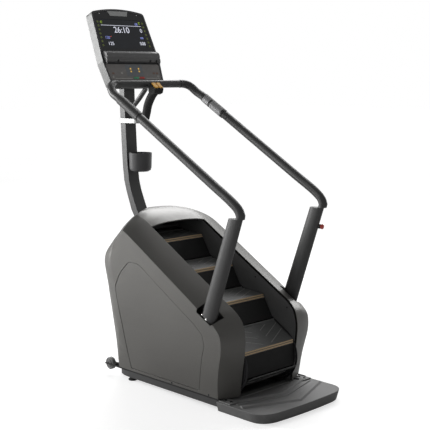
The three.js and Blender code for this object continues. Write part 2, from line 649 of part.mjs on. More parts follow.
function buildControlGrip() {
  const handle = sweep([[0, 815, GRIP_BRACKET_Z + 17], [0, 802, 1570], [0, 786, 1620], [0, 752, 1672],
    [0, 722, 1700]], circle(26), 18);
  const headSide = [[744, 1700], [744, 1738], [726, 1752], [682, 1716], [690, 1690], [716, 1680]];
  const head = slabX(outline(headSide, 6), -34, 34);
  const room = [onHeadFace(5, -6), onHeadFace(51, -6), onHeadFace(51, 12), onHeadFace(5, 12)];
  const buttonRoom = slabX(outline(room), 3, 31);
  add('control_grip', cut(join(handle, head), buttonRoom, mirrorX(buttonRoom)), rubber);
  const cap = outline([onHeadFace(6, -1), onHeadFace(50, -1), onHeadFace(50, 6), onHeadFace(6, 6)], 2);
  addPair('thumb_button', slabX(cap, 4, 30), amber);
}

function buildCupHolder() {
  const { z, height, radius, wall } = CUP;
  const profile = [
    [0, 0], [radius - 22, 0], [radius - 8, 8], [radius - 3, 24], [radius, height], [radius - wall, height],
    [radius - wall - 3, 26], [radius - wall - 9, 12], [radius - 24, wall], [0, wall],
  ].map(([r, h]) => new Vector2(r, h));
  const cup = new THREE.LatheGeometry(profile, 32).rotateX(Math.PI / 2);
  const middle = mastFront(z + height / 2) - radius - 6;
  cup.translate(0, middle, z);
  const lug = block(-18, 18, middle + radius - 2, mastFront(z + 40) - FIT, z + 40, z + 80);
  add('cup_holder', join(cup, lug), greyPlastic);
}

// ---------------------------------------------------------------- console
// Built in its own frame: x across, y away from the user, z up along the face, y = 0 on the face.
const consoleFrame = new THREE.Group();
const CONSOLE_DEPTH = 58;
const CONSOLE_FOOT = -38;
const CONSOLE_TOP = 446;

function addToConsole(name, geometry, paint) {
  consoleFrame.add(add(name, geometry, paint));
}

const faceBox = (x0, x1, z0, z1, radius = 4) => outline([[x0, z0], [x1, z0], [x1, z1], [x0, z1]], radius);

// Half the width of the console at a height up its face: it is widest at the reading tray.
function consoleHalf(z) {
  const [low, wide, high] = [[CONSOLE_FOOT, 208], [120, 226], [CONSOLE_TOP, 206]];
  const [from, to] = z < wide[0] ? [low, wide] : [wide, high];
  return from[1] + ((to[1] - from[1]) * (z - from[0])) / (to[0] - from[0]);
}

// Places along the arch at the top of the console, from its middle at 0 to its corners at 1.
const ARCH = [0.8, 0.6, 0.4, 0.2, 0, -0.2, -0.4, -0.6, -0.8];

// A plate that follows the sides of the console, with its top edge rising to a flat arch.
function facePlate(inset, z0, z1, rise, radius) {
  const heights = [z0, ...[120].filter((z) => z > z0 && z < z1), z1];
  const right = heights.map((z) => [consoleHalf(z) - inset, z]);
  const corner = consoleHalf(z1) - inset;
  const arch = rise ? ARCH.map((t) => [t * corner, z1 + rise * (1 - t * t)]) : [];
  const left = right.map(([x, z]) => [-x, z]).reverse();
  return outline([...right, ...arch, ...left], radius);
}

const SCREEN = { half: 160, bottom: 205, top: 400 };
const KEY_X = { go: 0, stop: 43 };

function buildConsole() {
  const rim = slabY(facePlate(0, CONSOLE_FOOT, CONSOLE_TOP, 24, 24), 0, CONSOLE_DEPTH);
  const pocket = slabY(facePlate(12, -4, CONSOLE_TOP - 12, 24, 16), -5, 12);
  addToConsole('console_housing', cut(rim, pocket), silverPlastic);

  const fascia = slabY(facePlate(13, 180, CONSOLE_TOP - 13, 23, 15), 2, 11.5);
  const window = slabY(faceBox(-SCREEN.half, SCREEN.half, SCREEN.bottom, SCREEN.top), 0, 20);
  addToConsole('console_fascia', cut(fascia, window), glossBlack);
  const { half, bottom, top } = SCREEN;
  const glass = faceBox(-half + FIT, half - FIT, bottom + FIT, top - FIT);
  addToConsole('screen', slabY(glass, 3, 11.5), glossBlack);

  const lipSide = [[11, 112], [-12, 112, 8], [-34, 134, 14], [-36, 158, 14], [-20, 178, 10], [11, 178]];
  const lip = outline(lipSide, 3);
  const trayHalf = consoleHalf(178) - 13;
  addToConsole('reading_tray', slabX(lip, -trayHalf, trayHalf), darkPlastic);

  const slots = [KEY_X.go, KEY_X.stop].map((x) => slabY(faceBox(x - 21, x + 21, 3, 17, 3), -5, 8));
  addToConsole('keypad_panel', cut(slabY(facePlate(13, -3, 100, 0, 16), 1, 11.5), ...slots), greyPlastic);
  const key = (x) => slabY(faceBox(x - 20, x + 20, 4, 16, 3), -1, 6);
  addToConsole('go_key', key(KEY_X.go), green);
  addToConsole('stop_key', key(KEY_X.stop), red);

  consoleFrame.position.set(0, 887, 1771);
  consoleFrame.rotation.x = -CONSOLE_TILT;
  machine.add(consoleFrame);
}

function buildPowerInlet() {
  const socket = cut(block(60, 112, 800, 820, 102, 138), block(66, 106, 810, 825, 108, 132));
  add('power_inlet', socket, rubber);
}

buildBaseFrame();
buildPlatform();
buildFeetAndWheels();
buildSideShells();
buildFrontShroud();
buildInnerWalls();
buildSteps();
buildShafts();
buildChains();
buildDrive();
addPair('post', postGeometry(0), tubePaint);
buildHandRails();
buildPulseGrips();
buildEmergencyStop();
buildMast();
buildGripBracket();
buildControlGrip();
buildCupHolder();
buildConsole();
buildPowerInlet();

machine.position.y = -ORIGIN_Y;
export default machine;
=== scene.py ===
"""The looks of a stair climber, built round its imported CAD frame.

Metres. +X is across the machine, +Y the way the user faces, +Z up. Most CAD nodes stay and get a
procedural material and rounded edges; ribs, screws, screen graphics and trim are added to them.
"""

import json
import math

import bmesh
import bpy
from mathutils import Matrix, Vector


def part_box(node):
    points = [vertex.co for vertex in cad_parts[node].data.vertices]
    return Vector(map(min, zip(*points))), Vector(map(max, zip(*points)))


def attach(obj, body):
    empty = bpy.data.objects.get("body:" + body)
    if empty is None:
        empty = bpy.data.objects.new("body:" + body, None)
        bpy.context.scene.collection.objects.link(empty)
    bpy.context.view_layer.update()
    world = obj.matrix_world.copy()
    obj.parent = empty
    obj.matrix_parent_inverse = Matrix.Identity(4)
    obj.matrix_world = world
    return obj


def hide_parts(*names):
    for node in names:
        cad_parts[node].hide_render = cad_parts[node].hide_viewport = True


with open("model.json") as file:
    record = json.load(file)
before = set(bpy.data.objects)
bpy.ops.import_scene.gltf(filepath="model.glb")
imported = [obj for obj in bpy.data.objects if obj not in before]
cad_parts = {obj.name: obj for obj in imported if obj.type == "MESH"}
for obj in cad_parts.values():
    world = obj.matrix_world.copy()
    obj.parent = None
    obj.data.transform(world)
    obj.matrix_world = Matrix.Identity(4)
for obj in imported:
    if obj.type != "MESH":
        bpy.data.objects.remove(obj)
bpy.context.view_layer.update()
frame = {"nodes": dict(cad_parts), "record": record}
NODES = frame["nodes"]
SIDES = {"left": -1, "right": 1}
MM = 0.001
STEPS = range(1, 10)
LIFT = 0.3 * MM                        # gap between a surface and what is laid on it


# ---------------------------------------------------------------- materials
class Paint:
    """A Principled material, put together from procedural nodes in object coordinates."""

    def __init__(self, name, **sockets):
        self.material = bpy.data.materials.new(name)
        self.material.use_nodes = True
        self.tree = self.material.node_tree
        self.shader = self.tree.nodes["Principled BSDF"]
        self.place = self.node("ShaderNodeTexCoord").outputs["Object"]
        for socket, value in sockets.items():
            self.shader.inputs[socket.replace("_", " ")].default_value = value

    def node(self, kind, links=(), **settings):
        made = self.tree.nodes.new(kind)
        for key, value in settings.items():
            setattr(made, key, value)
        for socket, value in dict(links).items():
            if isinstance(value, bpy.types.NodeSocket):
                self.tree.links.new(value, made.inputs[socket])
            else:
                made.inputs[socket].default_value = value
        return made

    def stretched(self, scale):
        return self.node("ShaderNodeMapping", {"Vector": self.place, "Scale": scale}).outputs["Vector"]

    def noise(self, scale, detail=3.0, stretch=None):
        place = self.stretched(stretch) if stretch else self.place
        links = {"Vector": place, "Scale": scale, "Detail": detail}
        return self.node("ShaderNodeTexNoise", links).outputs["Fac"]

    def cells(self, scale):
        return self.node("ShaderNodeTexVoronoi", {"Vector": self.place, "Scale": scale}).outputs["Distance"]

    def ramp(self, factor, stops):
        made = self.node("ShaderNodeValToRGB", {"Fac": factor})
        elements = made.color_ramp.elements
        while len(elements) < len(stops):
            elements.new(0.5)
        for element, (position, colour) in zip(elements, stops):
            element.position = position
            element.color = (*colour, 1)
        return made.outputs["Color"]

    def span(self, factor, low, high):
        links = {"Value": factor, "To Min": low, "To Max": high}
        return self.node("ShaderNodeMapRange", links).outputs["Result"]

    def worn_edges(self, colour, bright, amount):
        """Lightens a colour where the surface turns sharply, as on a handled edge."""
        edge = self.node("ShaderNodeNewGeometry").outputs["Pointiness"]
        mask = self.node("ShaderNodeMapRange", {
            "Value": edge, "From Min": 0.52, "From Max": 0.6, "To Min": 0.0, "To Max": amount,
        }).outputs["Result"]
        mix = self.node("ShaderNodeMix", data_type="RGBA")
        self.tree.links.new(mask, mix.inputs[0])
        self.tree.links.new(colour, mix.inputs[6])
        mix.inputs[7].default_value = (*bright, 1)
        return mix.outputs[2]

    def bump(self, *layers):
        """Stacks (height, strength, distance in metres) layers onto the surface normal."""
        normal = None
        for height, strength, distance in layers:
            links = {"Height": height, "Strength": strength, "Distance": distance}
            if normal:
                links["Normal"] = normal
            normal = self.node("ShaderNodeBump", links).outputs["Normal"]
        self.set(Normal=normal)

    def set(self, **links):
        for socket, value in links.items():
            self.tree.links.new(value, self.shader.inputs[socket.replace("_", " ")])


def shade(colour, factor):
    return tuple(c * factor for c in colour)


def painted(name, colour, rough, metallic, flake=0.0, coat=0.0):
    """Sprayed paint: slow colour drift, orange peel, and fine metal flake in some."""
    paint = Paint(name, Metallic=metallic, Coat_Weight=coat, Coat_Roughness=0.25)
    drift = paint.noise(2.5, 2)
    grain = paint.noise(900, 2)
    blend = paint.node("ShaderNodeMix", data_type="RGBA", blend_type="OVERLAY")
    blend.inputs[0].default_value = 0.25 + flake
    base = paint.ramp(drift, [(0.3, shade(colour, 0.93)), (0.7, shade(colour, 1.07))])
    paint.tree.links.new(base, blend.inputs[6])
    speckle = paint.ramp(grain, [(0.35, (0.42,) * 3), (0.65, (0.58,) * 3)])
    paint.tree.links.new(speckle, blend.inputs[7])
    paint.set(
        Base_Color=paint.worn_edges(blend.outputs[2], shade(colour, 1.9), 0.35),
        Roughness=paint.span(paint.noise(60, 4), rough - 0.05, rough + 0.06),
    )
    paint.bump((paint.noise(420, 2), 0.12, 0.2 * MM), (grain, 0.06, 0.05 * MM))
    return paint.material


def moulded(name, colour, rough=0.55, grain=700, depth=0.12):
    """Moulded plastic with a fine leather-like grain and slight scuffing."""
    paint = Paint(name, Specular_IOR_Level=0.4)
    cells = paint.cells(grain)
    scuff = paint.noise(22, 5, (1, 3, 1))
    base = paint.ramp(scuff, [(0.3, shade(colour, 0.88)), (0.62, colour), (0.8, shade(colour, 1.2))])
    paint.set(
        Base_Color=paint.worn_edges(base, shade(colour, 1.8), 0.4),
        Roughness=paint.span(scuff, rough - 0.07, rough + 0.1),
    )
    paint.bump((cells, depth, 0.15 * MM), (paint.noise(120, 3), 0.08, 0.1 * MM))
    return paint.material


def brushed(name, colour, rough):
    """Bare metal with fine directional scratches."""
    paint = Paint(name, Metallic=1.0)
    lines = paint.noise(30, 4, (1, 60, 60))
    paint.set(
        Base_Color=paint.ramp(lines, [(0.3, shade(colour, 0.8)), (0.7, colour)]),
        Roughness=paint.span(lines, rough - 0.08, rough + 0.08),
    )
    paint.bump((lines, 0.08, 0.05 * MM))
    return paint.material


def glossy(name, colour, rough=0.12):
    """Polished plastic or glass-topped black with faint smears."""
    paint = Paint(name, Coat_Weight=0.6, Coat_Roughness=0.06)
    smear = paint.noise(14, 5, (1, 2.5, 1))
    paint.set(
        Base_Color=paint.ramp(smear, [(0.3, shade(colour, 0.85)), (0.7, shade(colour, 1.2))]),
        Roughness=paint.span(smear, rough - 0.05, rough + 0.12),
    )
    paint.bump((paint.noise(260, 2), 0.03, 0.05 * MM))
    return paint.material


def two_tone(name, side_colour, front_colour, rough):
    """Silver paint on the faces that look sideways, dark paint on the rest."""
    paint = Paint(name, Metallic=0.2)
    normal = paint.node("ShaderNodeTexCoord").outputs["Normal"]
    across = paint.node("ShaderNodeSeparateXYZ", {"Vector": normal}).outputs["X"]
    across = paint.node("ShaderNodeMath", {0: across}, operation="ABSOLUTE").outputs[0]
    grain = paint.noise(700, 2)
    limits = {"Value": across, "From Min": 0.55, "From Max": 0.75}
    mask = paint.node("ShaderNodeMapRange", limits).outputs["Result"]
    front, side = [
        paint.ramp(grain, [(0.3, shade(colour, 0.9)), (0.7, shade(colour, 1.1))])
        for colour in (front_colour, side_colour)
    ]
    mix = paint.node("ShaderNodeMix", {0: mask, 6: front, 7: side}, data_type="RGBA")
    paint.set(
        Base_Color=mix.outputs[2],
        Roughness=paint.span(paint.noise(40, 3), rough - 0.05, rough + 0.06),
    )
    paint.bump((grain, 0.08, 0.1 * MM))
    return paint.material


def ribbed_rubber(name, colour, rough=0.8):
    """Rubber with a fine knurl and dust in its pores."""
    paint = Paint(name, Specular_IOR_Level=0.3)
    pores = paint.cells(520)
    dust = paint.noise(9, 4)
    paint.set(
        Base_Color=paint.ramp(dust, [(0.35, colour), (0.75, shade(colour, 1.7))]),
        Roughness=paint.span(dust, rough - 0.08, rough + 0.08),
    )
    paint.bump((pores, 0.3, 0.3 * MM))
    return paint.material


def lamp(name, colour, strength):
    """A lit graphic behind the screen's glass, slightly uneven like a backlight."""
    paint = Paint(name, Roughness=0.3, Emission_Strength=strength)
    glow = paint.ramp(paint.noise(45, 2), [(0.3, shade(colour, 0.8)), (0.7, colour)])
    paint.set(Base_Color=glow, Emission_Color=glow)
    return paint.material


SHELL = painted("shell_paint", (0.105, 0.102, 0.095), 0.44, 0.35, flake=0.2, coat=0.2)
TUBE = painted("frame_paint", (0.052, 0.052, 0.052), 0.5, 0.35, coat=0.06)
WALL = moulded("wall_plastic", (0.085, 0.085, 0.085), 0.62)
# Near black: painted shade on the risers, the lowest tread and the console's vent slots, and the own colour
# of the dark joint along the base.
PAINTED_SHADE_AND_JOINT_BLACK = moulded("painted_shade_and_joint_black", (0.005, 0.005, 0.005), 0.7)
CUP = moulded("cup_plastic", (0.06, 0.06, 0.062), 0.45)
DARK = moulded("dark_plastic", (0.042, 0.042, 0.042), 0.5)
PLATFORM = moulded("platform_plastic", (0.13, 0.13, 0.129), 0.62, grain=420, depth=0.2)
GREY = moulded("grey_plastic", (0.215, 0.205, 0.198), 0.5)
TRAY = moulded("tray_plastic", (0.13, 0.13, 0.13), 0.5)
SILVER = painted("silver_plastic", (0.36, 0.365, 0.36), 0.36, 0.25, flake=0.2, coat=0.2)
# Lighter than the tread: a painted highlight on the raised ribs.
RIB_HIGHLIGHT = moulded("rib_painted_highlight", (0.18, 0.18, 0.175), 0.5)
TREAD = moulded("tread_plastic", (0.1, 0.102, 0.1), 0.55, grain=500, depth=0.2)
NOSING = painted("nosing_strip", (0.36, 0.26, 0.15), 0.4, 0.2, flake=0.3)
BOLT = brushed("bolt_zinc", (0.78, 0.78, 0.76), 0.25)
PULSE = painted("pulse_plate", (0.3, 0.3, 0.305), 0.5, 0.5)
HOUSING = two_tone("console_paint", (0.15, 0.152, 0.15), (0.075, 0.075, 0.077), 0.5)
GLOSS = glossy("gloss_black", (0.012, 0.013, 0.015))
GLASS = glossy("screen_glass", (0.010, 0.013, 0.020), 0.1)
RUBBER = ribbed_rubber("rubber", (0.018, 0.018, 0.018))
AMBER = moulded("amber_plastic", (0.86, 0.46, 0.06), 0.55)
RED = glossy("red_plastic", (0.5, 0.045, 0.03), 0.25)
GREEN = glossy("green_plastic", (0.06, 0.36, 0.17), 0.3)
IRON = painted("cast_housing", (0.03, 0.03, 0.032), 0.6, 0.5)
SCREW = painted("black_screw", (0.014, 0.014, 0.015), 0.45, 0.6)
WHITE_LIT = lamp("lit_white", (0.72, 0.74, 0.84), 0.8)
BLUE_LIT = lamp("lit_blue", (0.22, 0.26, 0.62), 0.9)
OLIVE_LIT = lamp("lit_olive", (0.16, 0.2, 0.05), 0.5)
GREEN_LIT = lamp("lit_green", (0.3, 0.45, 0.04), 0.8)
AMBER_LIT = lamp("lit_amber", (0.75, 0.45, 0.08), 0.7)
RED_LIT = lamp("lit_red", (0.5, 0.08, 0.06), 0.7)
KEY_PATCH = moulded("patch_plastic", (0.14, 0.15, 0.16), 0.35)
KEY_MARK = lamp("pale_mark", (0.5, 0.5, 0.47), 0.15)
DULL_MARK = moulded("mark_plastic", (0.16, 0.1, 0.08), 0.5)


# ---------------------------------------------------------------- CAD nodes that stay
SHARP_ANGLE = math.radians(38)         # facets that meet at less than this shade as one skin
FLAT_ANGLE = math.radians(0.2)


def dress(node, material, edge):
    """Gives a CAD node its material, welds its facets into a smooth skin and rounds its edges."""
    obj = NODES[node]
    if not obj.material_slots:
        obj.data.materials.append(material)
    for slot in obj.material_slots:
        slot.material = material
    obj.data.polygons.foreach_set("use_smooth", [True] * len(obj.data.polygons))
    weld = obj.modifiers.new("weld", "WELD")
    weld.merge_threshold = 0.01 * MM
    flat = obj.modifiers.new("one face per flat", "DECIMATE")
    flat.decimate_type = "DISSOLVE"
    flat.angle_limit = FLAT_ANGLE
    bevel = obj.modifiers.new("rounded edges", "BEVEL")
    bevel.width = edge
    bevel.segments = 3
    bevel.limit_method = "ANGLE"
    bevel.angle_limit = SHARP_ANGLE
    bevel.harden_normals = True
    bevel.use_clamp_overlap = True
    even = obj.modifiers.new("even shading", "WEIGHTED_NORMAL")
    even.keep_sharp = True


def sides(name):
    return [f"{name}_{side}" for side in SIDES]


# Nodes, their material and the radius of their edges in millimetres. The risers and the lowest
# tread hang in deep shade, so they are painted near black: painted shade, darker than their own colour.
STAYING = [
    (sides("side_shell"), SHELL, 1.2),
    (["front_shroud"], SHELL, 1.2),
    (sides("service_panel"), SHELL, 1.0),
    (sides("inner_wall"), WALL, 0.6),
    (["base_frame"], TUBE, 2.0),
    (sides("post"), TUBE, 2.5),
    (sides("hand_rail"), TUBE, 1.0),
    (["crossbar", "mast", "grip_arm"], TUBE, 3.0),
    (sides("pulse_grip"), DARK, 0.8),
    (sides("levelling_foot"), RUBBER, 1.0),
    (sides("transport_wheel"), TRAY, 1.0),
    (["lower_shaft", "upper_shaft"], IRON, 0.8),
    (sides("chain"), IRON, 0.5),
    (["alternator"], IRON, 3.0),
    (["console_housing"], HOUSING, 3.0),
    (["grip_bracket"], SILVER, 2.0),
    (["console_fascia"], GLOSS, 1.0),
    (["screen"], GLASS, 0.8),
    (["reading_tray"], TRAY, 2.0),
    (["keypad_panel"], GREY, 1.0),
    (["cup_holder"], CUP, 1.0),
    (["control_grip"], RUBBER, 2.5),
    (sides("thumb_button"), AMBER, 1.5),
    (["go_key"], GREEN, 1.0),
    (["stop_key"], RED, 1.0),
    (["e_stop_base"], DARK, 1.5),
    (["power_inlet"], DARK, 1.0),
    (["entry_platform"], PLATFORM, 4.0),
    ([f"riser_{step}" for step in STEPS], PAINTED_SHADE_AND_JOINT_BLACK, 0.6),
    ([f"tread_{step}" for step in STEPS[:-1]], TREAD, 1.5),
    # The lowest tread is painted near black like the risers: painted shade, where the real tread matches
    # the others.
    (["tread_9"], PAINTED_SHADE_AND_JOINT_BLACK, 1.5),
]
for nodes, material, edge in STAYING:
    for node in nodes:
        dress(node, material, edge * MM)


# ---------------------------------------------------------------- tools for added pieces
def piece(name, material, body, fill, edge=0.0, smooth=False):
    """A new mesh riding on a CAD body: fill(bm) makes its solids, in the machine's own frame."""
    bm = bmesh.new()
    fill(bm)
    bmesh.ops.recalc_face_normals(bm, faces=bm.faces)
    mesh = bpy.data.meshes.new(name)
    bm.to_mesh(mesh)
    bm.free()
    mesh.materials.append(material)
    mesh.polygons.foreach_set("use_smooth", [smooth or edge > 0] * len(mesh.polygons))
    obj = bpy.data.objects.new(name, mesh)
    bpy.context.scene.collection.objects.link(obj)
    if edge:
        bevel = obj.modifiers.new("rounded edges", "BEVEL")
        bevel.width = edge
        bevel.segments = 2
        bevel.limit_method = "ANGLE"
        bevel.harden_normals = True
    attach(obj, body)
    return obj


def face_of(node, toward, least=0.5):
    """The largest flat face of a CAD node that looks one way.

    Returns a matrix whose origin is the middle of that face, with x across the machine, z along the
    face's normal and y = z cross x, and half the face's size in x and y.
    """
    mesh = NODES[node].data
    toward = Vector(toward).normalized()
    areas = {}
    for polygon in mesh.polygons:
        if polygon.normal.dot(toward) < least:
            continue
        offset = polygon.center.dot(polygon.normal)
        key = (*(round(n, 2) for n in polygon.normal), round(offset, 3))
        areas.setdefault(key, []).append(polygon)
    flat = max(areas.values(), key=lambda group: sum(p.area for p in group))
    normal = max(flat, key=lambda p: p.area).normal.copy()
    x_axis = Vector((1, 0, 0)) if abs(normal.x) < 0.9 else Vector((0, -normal.x, 0))
    x_axis = (x_axis - normal * x_axis.dot(normal)).normalized()
    y_axis = normal.cross(x_axis)
    turn = Matrix((x_axis, y_axis, normal))
    points = [turn @ mesh.vertices[i].co for p in flat for i in p.vertices]
    low = Vector(min(p[k] for p in points) for k in range(3))
    high = Vector(max(p[k] for p in points) for k in range(3))
    middle = (low + high) / 2
    place = Matrix.Translation(turn.transposed() @ middle) @ turn.transposed().to_4x4()
    return place, (high.x - low.x) / 2, (high.y - low.y) / 2


def prism(bm, place, outline, low, high):
    """A closed outline in a face's own x and y, given height along its normal."""
    rings = [[bm.verts.new(place @ Vector((x, y, h))) for x, y in outline] for h in (low, high)]
    count = len(outline)
    for ring in rings:
        bm.faces.new(ring)
    for i in range(count):
        j = (i + 1) % count
        bm.faces.new((rings[0][i], rings[0][j], rings[1][j], rings[1][i]))


def rect(x0, x1, y0, y1):
    return [(x0, y0), (x1, y0), (x1, y1), (x0, y1)]


def strip(bm, place, path, width, low, high, top=None):
    """A bar along a line on a face, mitred at its corners, with its top narrower than its foot."""
    top = width if top is None else top
    points = [Vector(p) for p in path]
    rings = []
    for i, point in enumerate(points):
        near = points[max(i - 1, 0):i + 2]
        ways = [(b - a).normalized() for a, b in zip(near, near[1:])]
        way = sum(ways, Vector((0, 0))).normalized()
        spread = 1 / max(0.3, way.dot(ways[0]))
        side = Vector((-way.y, way.x)) * spread / 2
        ring = [(-width, low), (-top, high), (top, high), (width, low)]
        rings.append([bm.verts.new(place @ Vector((*(point + side * w), h))) for w, h in ring])
    for a, b in zip(rings, rings[1:]):
        for k in range(4):
            bm.faces.new((a[k], a[(k + 1) % 4], b[(k + 1) % 4], b[k]))
    bm.faces.new(rings[0])
    bm.faces.new(rings[-1])


def lathe(bm, place, profile, facets):
    """A closed turning round a face's normal: profile is (radius, height), from axis to axis."""
    angles = [2 * math.pi * k / facets for k in range(facets)]
    rings = []
    for radius, height in profile:
        if radius == 0:
            rings.append([bm.verts.new(place @ Vector((0, 0, height)))])
            continue
        rings.append([
            bm.verts.new(place @ Vector((radius * math.cos(t), radius * math.sin(t), height)))
            for t in angles
        ])
    for a, b in zip(rings, rings[1:]):
        for k in range(facets):
            j = (k + 1) % facets
            corners = [a[k % len(a)], a[j % len(a)], b[j % len(b)], b[k % len(b)]]
            bm.faces.new(list(dict.fromkeys(corners)))


def screw(bm, place, radius, proud):
    """A button-head screw with a round socket."""
    socket = radius * 0.45
    lathe(bm, place, [
        (0, -LIFT), (radius, -LIFT), (radius, proud * 0.35), (radius * 0.8, proud * 0.85),
        (socket * 1.2, proud), (socket, proud * 0.9), (socket, proud * 0.3), (0, proud * 0.3),
    ], 16)


def shifted(place, x, y, z=0.0):
    return place @ Matrix.Translation((x, y, z))


def middle_of(node):
    low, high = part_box(node)
    return (low + high) / 2


def facing(sign):
    """Turns a face's own axes so that its normal points out of one side of the machine."""
    return Matrix(((0, 0, sign), (sign, 0, 0), (0, 1, 0))).to_4x4()


# ---------------------------------------------------------------- steps
RIB_PITCH = 50 * MM
RIB_WIDTH = 5 * MM
RIB_RISE = 1.2 * MM
RIB_SLANT = 0.48                        # run towards the back for each metre out from the middle
BODY_OF_NODE = {n: b for b, members in frame["record"]["behaviour"]["bodies"].items() for n in members}


GROOVE_PITCH = 10 * MM
RETURN_STEPS = (6, 7, 8)                # out of sight below, where grooves would rub on the next riser


def step_details(number):
    """Slanted ribs and fine grooves on the tread, and the two tan strips along its nosing."""
    tread, riser = f"tread_{number}", f"riser_{number}"
    body = BODY_OF_NODE[tread]
    top, half_x, half_y = face_of(tread, middle_of(tread) - middle_of(riser), 0.2)
    inner, outer = 0.17 * half_x, half_x - 8 * MM

    def ribs(bm):
        for row in range(5):
            start = -half_y + 18 * MM + row * RIB_PITCH
            for side in (-1, 1):
                reach = min(outer, inner + (half_y - 14 * MM - start) / RIB_SLANT)
                if reach < inner + 12 * MM:
                    continue
                path = [(side * inner, start), (side * reach, start + (reach - inner) * RIB_SLANT)]
                strip(bm, top, path, RIB_WIDTH, -LIFT, RIB_RISE, RIB_WIDTH * 0.45)

    def grooves(bm):
        for row in range(22):
            line = -half_y + 19 * MM + row * GROOVE_PITCH
            strip(bm, top, [(-outer, line), (outer, line)], 1.6 * MM, -LIFT, 0.35 * MM, 0.8 * MM)

    if number not in RETURN_STEPS:
        piece(f"tread_grooves_{number}", TREAD, body, grooves)
    # The ribs are painted lighter than the tread: a painted highlight on their raised tops.
    piece(f"tread_ribs_{number}", RIB_HIGHLIGHT, body, ribs)

    nose, nose_x, nose_y = face_of(tread, -(top.to_3x3() @ Vector((0, 1, 0))))

    def strips(bm):
        for centre in (0.56 * nose_y, -0.42 * nose_y):
            path = [(-nose_x + 2 * MM, centre), (nose_x - 2 * MM, centre)]
            strip(bm, nose, path, nose_y * 0.72, -LIFT, 1.4 * MM, nose_y * 0.5)

    piece(f"nosing_strips_{number}", NOSING, body, strips)


for number in STEPS:
    step_details(number)


# ---------------------------------------------------------------- entry platform
def platform_details():
    """Raised V ribs, and a screwed pad in each corner by the shell."""
    top, _, front = face_of("entry_platform", (0, 0, 1))

    def chevron(bm, apex, arm, reach, width, rise):
        path = [(-reach, front - arm), (0, front - apex), (reach, front - arm)]
        strip(bm, top, path, width, -LIFT, rise, width * 0.55)

    def relief(bm):
        chevron(bm, 0.152, 0.075, 0.285, 34 * MM, 8 * MM)
        chevron(bm, 0.2, 0.116, 0.3, 16 * MM, 5 * MM)
        chevron(bm, 0.292, 0.165, 0.318, 44 * MM, 9 * MM)
        edge = front - 0.045
        strip(bm, top, [(-0.2, edge), (0.2, edge)], 12 * MM, -LIFT, 3 * MM, 6 * MM)

    piece("platform_chevrons", PLATFORM, "frame", relief, edge=1.0 * MM)

    def pads(bm):
        for side in (-1, 1):
            x0, x1 = sorted((side * 0.268, side * 0.335))
            corners = rect(x0, x1, front - 0.098, front - 0.012)
            prism(bm, top, corners, -LIFT, 7 * MM)

    piece("platform_corner_pads", PLATFORM, "frame", pads, edge=3 * MM)

    def pad_screws(bm):
        for side in (-1, 1):
            for depth in (0.035, 0.075):
                screw(bm, shifted(top, side * 0.302, front - depth, 7 * MM), 9 * MM, 3 * MM)

    piece("platform_screws", SCREW, "frame", pad_screws, smooth=True)


platform_details()


# ---------------------------------------------------------------- screws and bolts on the shell
SCREW_PITCH = 0.285
SCREW_START = Vector((0.063, 0.418))    # first wall screw, from the wall's lowest corner
STAIR_SLOPE = math.radians(30)


def wall_screws():
    """Small screws along the top edge of each inner wall."""
    for side, sign in SIDES.items():
        wall = f"inner_wall_{side}"
        place, _, _ = face_of(wall, (-sign, 0, 0))
        low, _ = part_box(wall)

        def heads(bm):
            for step in range(4):
                run = SCREW_PITCH * step
                y = low.y + SCREW_START.x + run * math.cos(STAIR_SLOPE)
                z = low.z + SCREW_START.y + run * math.sin(STAIR_SLOPE)
                at = Vector((place.translation.x, y, z))
                screw(bm, Matrix.Translation(at) @ place.to_3x3().to_4x4(), 5 * MM, 1.6 * MM)

        piece(f"wall_screws_{side}", SCREW, "frame", heads, smooth=True)


BOLT_HEAD = [(0, -3 * MM), (7 * MM, -3 * MM), (7 * MM, 1.5 * MM), (5 * MM, 3.5 * MM), (0, 4 * MM)]


def post_bolts():
    """Two bright bolts at the foot of each post, on its outer face."""
    for side, sign in SIDES.items():
        low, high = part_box(f"post_{side}")
        outer = high.x if sign > 0 else low.x

        def heads(bm):
            for back, up, inset in ((0.041, 0.063, 5 * MM), (0.077, 0.043, 0.5 * MM)):
                at = Vector((outer - sign * inset, high.y - back, low.z + up))
                lathe(bm, Matrix.Translation(at) @ facing(sign), BOLT_HEAD, 18)

        piece(f"post_bolts_{side}", BOLT, "frame", heads, smooth=True)


def seam_screws():
    """Black screws along the bottom edge of the side shells."""
    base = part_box("base_frame")[1]
    shell_low, shell_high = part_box("side_shell_left")
    length = shell_high.y - shell_low.y
    for side, sign in SIDES.items():

        def heads(bm):
            for along in (0.14, 0.4, 0.84):
                x = sign * (base.x + 6.2 * MM)
                at = Vector((x, shell_low.y + along * length, shell_low.z + 8 * MM))
                screw(bm, Matrix.Translation(at) @ facing(sign), 5.5 * MM, 2 * MM)

        piece(f"seam_screws_{side}", SCREW, "frame", heads, smooth=True)


def base_seam():
    """The dark joint between the side shells and the base."""
    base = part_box("base_frame")[1]
    shell_low, shell_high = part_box("side_shell_left")
    length = shell_high.y - shell_low.y

    def strips(bm):
        for side in SIDES.values():
            x0, x1 = sorted((side * (base.x - 0.5 * MM), side * (base.x + 2.5 * MM)))
            corners = rect(x0, x1, shell_low.y + 0.03 * length, shell_high.y - 0.07 * length)
            prism(bm, Matrix.Identity(4), corners, shell_low.z - 9 * MM, shell_low.z - 1 * MM)

    piece("base_seam", PAINTED_SHADE_AND_JOINT_BLACK, "frame", strips)


wall_screws()
post_bolts()
seam_screws()
base_seam()


# ---------------------------------------------------------------- console
# The screen's face, measured from the middle of the screen: x across, y up the face.
FACE, FACE_X, FACE_Y = face_of("screen", (0, -1, 0.5))
FASCIA, _, _ = face_of("console_fascia", (0, -1, 0.5))
KEYPAD, KEYPAD_X, KEYPAD_Y = face_of("keypad_panel", (0, -1, 0.5))
GRAPHIC = 0.5 * MM                      # thickness of a printed or lit graphic


